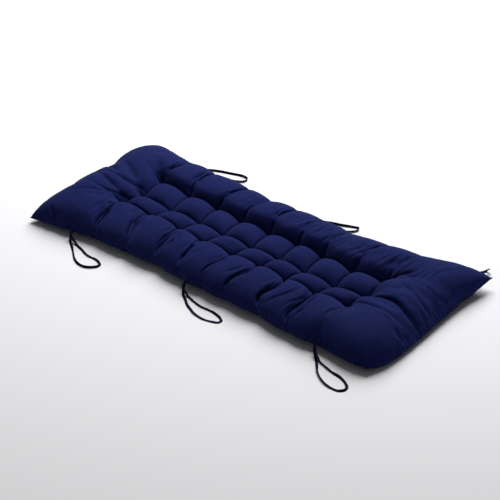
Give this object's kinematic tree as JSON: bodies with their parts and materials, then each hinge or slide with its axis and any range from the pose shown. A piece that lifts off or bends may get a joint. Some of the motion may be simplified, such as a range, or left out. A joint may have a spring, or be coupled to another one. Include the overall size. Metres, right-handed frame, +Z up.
{
  "type": "tufted lounge chair cushion",
  "caption": "Long stuffed seat and back pad of plain cloth, pinched by rows of sewn tacks, with strap loops along both long seams to tie it to a chair or lounger.",
  "frame": {"origin": "on the surface the pad lies on, under the middle of the stuffed pad without its ties", "axes": "+X along the pad's length, +Y across its width, from the edge that faces the viewer in the picture to the far edge, +Z up through its thickness"},
  "size_m": [1.2352, 0.602, 0.078],
  "materials": {
    "cloth": "matte",
    "strap": "matte"
  },
  "bodies": {
    "root": {"cushion": "cloth", "tie_front_left": "strap", "tie_front_middle": "strap", "tie_front_right": "strap", "tie_back_left": "strap", "tie_back_middle": "strap", "tie_back_right": "strap"}
  },
  "joints": []
}
